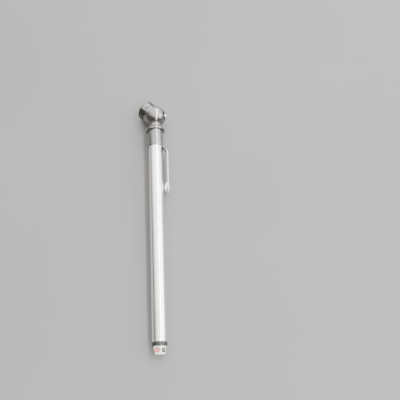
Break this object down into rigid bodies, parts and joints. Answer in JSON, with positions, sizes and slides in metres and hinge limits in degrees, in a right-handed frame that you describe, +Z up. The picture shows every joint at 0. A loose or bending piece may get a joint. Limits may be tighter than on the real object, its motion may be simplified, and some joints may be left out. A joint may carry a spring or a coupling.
{
  "type": "tire pressure gauge",
  "caption": "Pencil tire pressure gauge: ball head with an angled valve chuck and bleed nub, slim tube with a sprung pocket clip, and a sliding square scale bar.",
  "frame": {"origin": "bottom centre of the whole gauge's box, lying flat, with the scale bar at rest", "axes": "+Y along the tube towards the head, +Z up from the surface it lies on, +X on the pocket clip's side"},
  "size_m": [0.019, 0.1636, 0.0145],
  "materials": {
    "polished_tube": "polished, lightly drawn along its length",
    "head_chrome": "polished plating on a casting",
    "nub_metal": "polished",
    "clip_steel": "satin",
    "guide_plastic": "moulded",
    "bar_plastic": "moulded, printed scale",
    "piston_plastic": "moulded",
    "seal_rubber": "matt",
    "inner_brass": "stamped",
    "spring_steel": "drawn wire"
  },
  "bodies": {
    "barrel": {"barrel_tube": "polished_tube", "head_casting": "head_chrome", "head_o_ring": "seal_rubber", "deflator_nub": "nub_metal", "pin_carrier": "inner_brass", "depressor_pin": "inner_brass", "chuck_seal": "seal_rubber", "chuck_nose_ring": "head_chrome", "clip_band": "clip_steel", "end_guide": "guide_plastic", "drag_leaf": "spring_steel", "stop_washer": "inner_brass", "main_spring": "spring_steel"},
    "piston": {"piston_body": "piston_plastic", "piston_cup": "seal_rubber", "cup_washer": "inner_brass", "piston_rivet": "inner_brass", "spring_seat": "inner_brass"},
    "indicator": {"scale_bar": "bar_plastic"},
    "clip": {"clip_arm": "clip_steel"}
  },
  "joints": [
    {"name": "piston_slide", "type": "slide", "parent": "barrel", "child": "piston", "axis": [0, -1, 0], "range_m": [0, 0.06], "stiffness_N_per_m": 450, "springref_m": -0.0043, "deforming": ["main_spring"]},
    {"name": "indicator_slide", "type": "slide", "parent": "barrel", "child": "indicator", "axis": [0, -1, 0], "range_m": [0, 0.06]},
    {"name": "clip_flex", "type": "hinge", "parent": "barrel", "child": "clip", "pos_m": [0.00645, 0.04802, 0.00739], "axis": [0, 0, 1], "range_deg": [0, 4], "stiffness_Nm_per_rad": 0.6}
  ],
  "couplings": [
    {"joint": "indicator_slide", "follows": "piston_slide", "ratio": 1}
  ]
}
